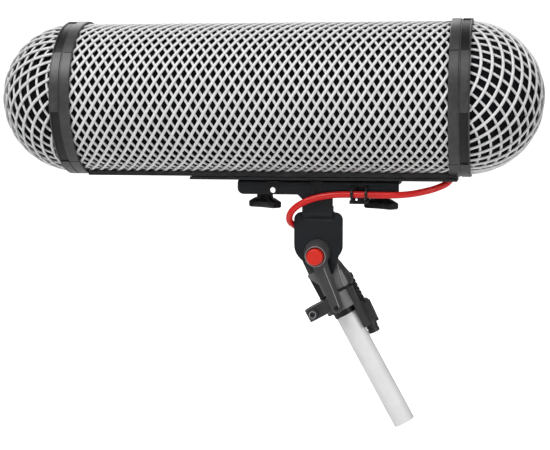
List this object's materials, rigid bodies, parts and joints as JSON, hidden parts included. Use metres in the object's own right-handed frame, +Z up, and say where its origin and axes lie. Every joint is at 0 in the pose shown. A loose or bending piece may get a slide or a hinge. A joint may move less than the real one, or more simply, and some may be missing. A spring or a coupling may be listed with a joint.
{
  "type": "basket windshield for a shotgun microphone",
  "caption": "Rigid net basket windshield with domed end caps, on a tilting steel bracket and a lever-locked pole clamp, with a red lead to its output connector.",
  "frame": {"origin": "on the pole's axis at the lower face of the clamp collar", "axes": "+X along the basket to its rear end, where the lead comes out; +Z up, with the basket level; the front of the bracket faces -Y"},
  "size_m": [0.3635, 0.103, 0.2709],
  "materials": {
    "net_white": "satin moulded plastic net",
    "liner_black": "fine black knitted liner",
    "ring_grey": "satin moulded dark grey",
    "rail_black": "satin black",
    "coated_steel": "fine textured black powder coat",
    "cast_grey": "glass-filled moulded dark grey",
    "moulded_black": "moulded black",
    "boot_rubber": "black rubber",
    "connector_metal": "satin dark grey",
    "dark_steel": "blackened steel",
    "spring_steel": "bright spring wire",
    "button_red": "semi-gloss red",
    "lead_red": "smooth red cable jacket",
    "lyre_elastomer": "black elastomer",
    "pole_tube": "pale satin tube"
  },
  "bodies": {
    "pole_clamp": {"swivel_body": "cast_grey", "clamp_collar": "cast_grey", "pinch_bolt": "dark_steel", "pinch_nut": "dark_steel", "pivot_bolt": "dark_steel", "connector_clip": "cast_grey", "output_connector": "connector_metal", "connector_boot": "boot_rubber", "pole_tip_section": "pole_tube", "lead_lower": "lead_red"},
    "tension_lever": {"tension_lever": "cast_grey", "button_spring": "spring_steel"},
    "lever_button": {"lever_button": "button_red"},
    "tilt_head": {"stem_bracket": "coated_steel", "front_cheek": "coated_steel", "rear_cheek": "coated_steel", "front_friction_disc": "moulded_black", "rear_friction_disc": "moulded_black", "front_cable_tie": "moulded_black", "rear_cable_tie": "moulded_black", "lead_upper": "lead_red", "front_clamp_nut": "dark_steel", "rear_clamp_nut": "dark_steel"},
    "front_thumb_knob": {"front_thumb_knob": "moulded_black"},
    "rear_thumb_knob": {"rear_thumb_knob": "moulded_black"},
    "basket": {"basket_tube": "net_white", "tube_liner": "liner_black", "keel_rail": "rail_black", "keel_channel": "rail_black", "lead_grommet": "boot_rubber", "suspension_bar": "rail_black", "front_bar_post": "rail_black", "rear_bar_post": "rail_black", "front_post_screw": "dark_steel", "rear_post_screw": "dark_steel", "front_tube_ring": "ring_grey", "rear_tube_ring": "ring_grey"},
    "front_lock_ring": {"front_lock_ring": "ring_grey"},
    "rear_lock_ring": {"rear_lock_ring": "ring_grey"},
    "front_cap": {"front_cap_net": "net_white", "front_cap_liner": "liner_black", "front_cap_rim": "ring_grey"},
    "rear_cap": {"rear_cap_net": "net_white", "rear_cap_liner": "liner_black", "rear_cap_rim": "ring_grey"},
    "front_lyre": {"front_lyre": "lyre_elastomer", "front_lyre_base": "moulded_black"},
    "rear_lyre": {"rear_lyre": "lyre_elastomer", "rear_lyre_base": "moulded_black"}
  },
  "joints": [
    {"name": "head_tilt", "type": "hinge", "parent": "pole_clamp", "child": "tilt_head", "pos_m": [-0.01664, 0, 0.0365], "axis": [0, 1, 0], "range_deg": [-75, 30], "deforming": ["lead_lower"]},
    {"name": "lever_turn", "type": "hinge", "parent": "pole_clamp", "child": "tension_lever", "pos_m": [-0.01664, 0, 0.0365], "axis": [0, 1, 0], "range_deg": [-35, 90]},
    {"name": "button_press", "type": "slide", "parent": "tension_lever", "child": "lever_button", "axis": [0, 1, 0], "range_m": [0, 0.0018], "stiffness_N_per_m": 600, "deforming": ["button_spring"]},
    {"name": "front_knob_turn", "type": "hinge", "parent": "tilt_head", "child": "front_thumb_knob", "pos_m": [-0.05324, 0, 0.0745], "axis": [0, 0, 1], "continuous": true},
    {"name": "rear_knob_turn", "type": "hinge", "parent": "tilt_head", "child": "rear_thumb_knob", "pos_m": [0.02476, 0, 0.0745], "axis": [0, 0, 1], "continuous": true},
    {"name": "rail_slide", "type": "slide", "parent": "tilt_head", "child": "basket", "axis": [1, 0, 0], "range_m": [-0.02, 0.01], "deforming": ["lead_upper"]},
    {"name": "front_ring_turn", "type": "hinge", "parent": "basket", "child": "front_lock_ring", "pos_m": [-0.18299, 0, 0.1405], "axis": [1, 0, 0], "range_deg": [0, 20]},
    {"name": "rear_ring_turn", "type": "hinge", "parent": "basket", "child": "rear_lock_ring", "pos_m": [0.08051, 0, 0.1405], "axis": [1, 0, 0], "range_deg": [-20, 0]},
    {"name": "front_cap_off", "type": "slide", "parent": "basket", "child": "front_cap", "axis": [-1, 0, 0], "range_m": [0, 0.06]},
    {"name": "rear_cap_off", "type": "slide", "parent": "basket", "child": "rear_cap", "axis": [1, 0, 0], "range_m": [0, 0.06]},
    {"name": "front_lyre_slide", "type": "slide", "parent": "basket", "child": "front_lyre", "axis": [1, 0, 0], "range_m": [-0.02, 0.025]},
    {"name": "rear_lyre_slide", "type": "slide", "parent": "basket", "child": "rear_lyre", "axis": [1, 0, 0], "range_m": [-0.025, 0.02]}
  ]
}
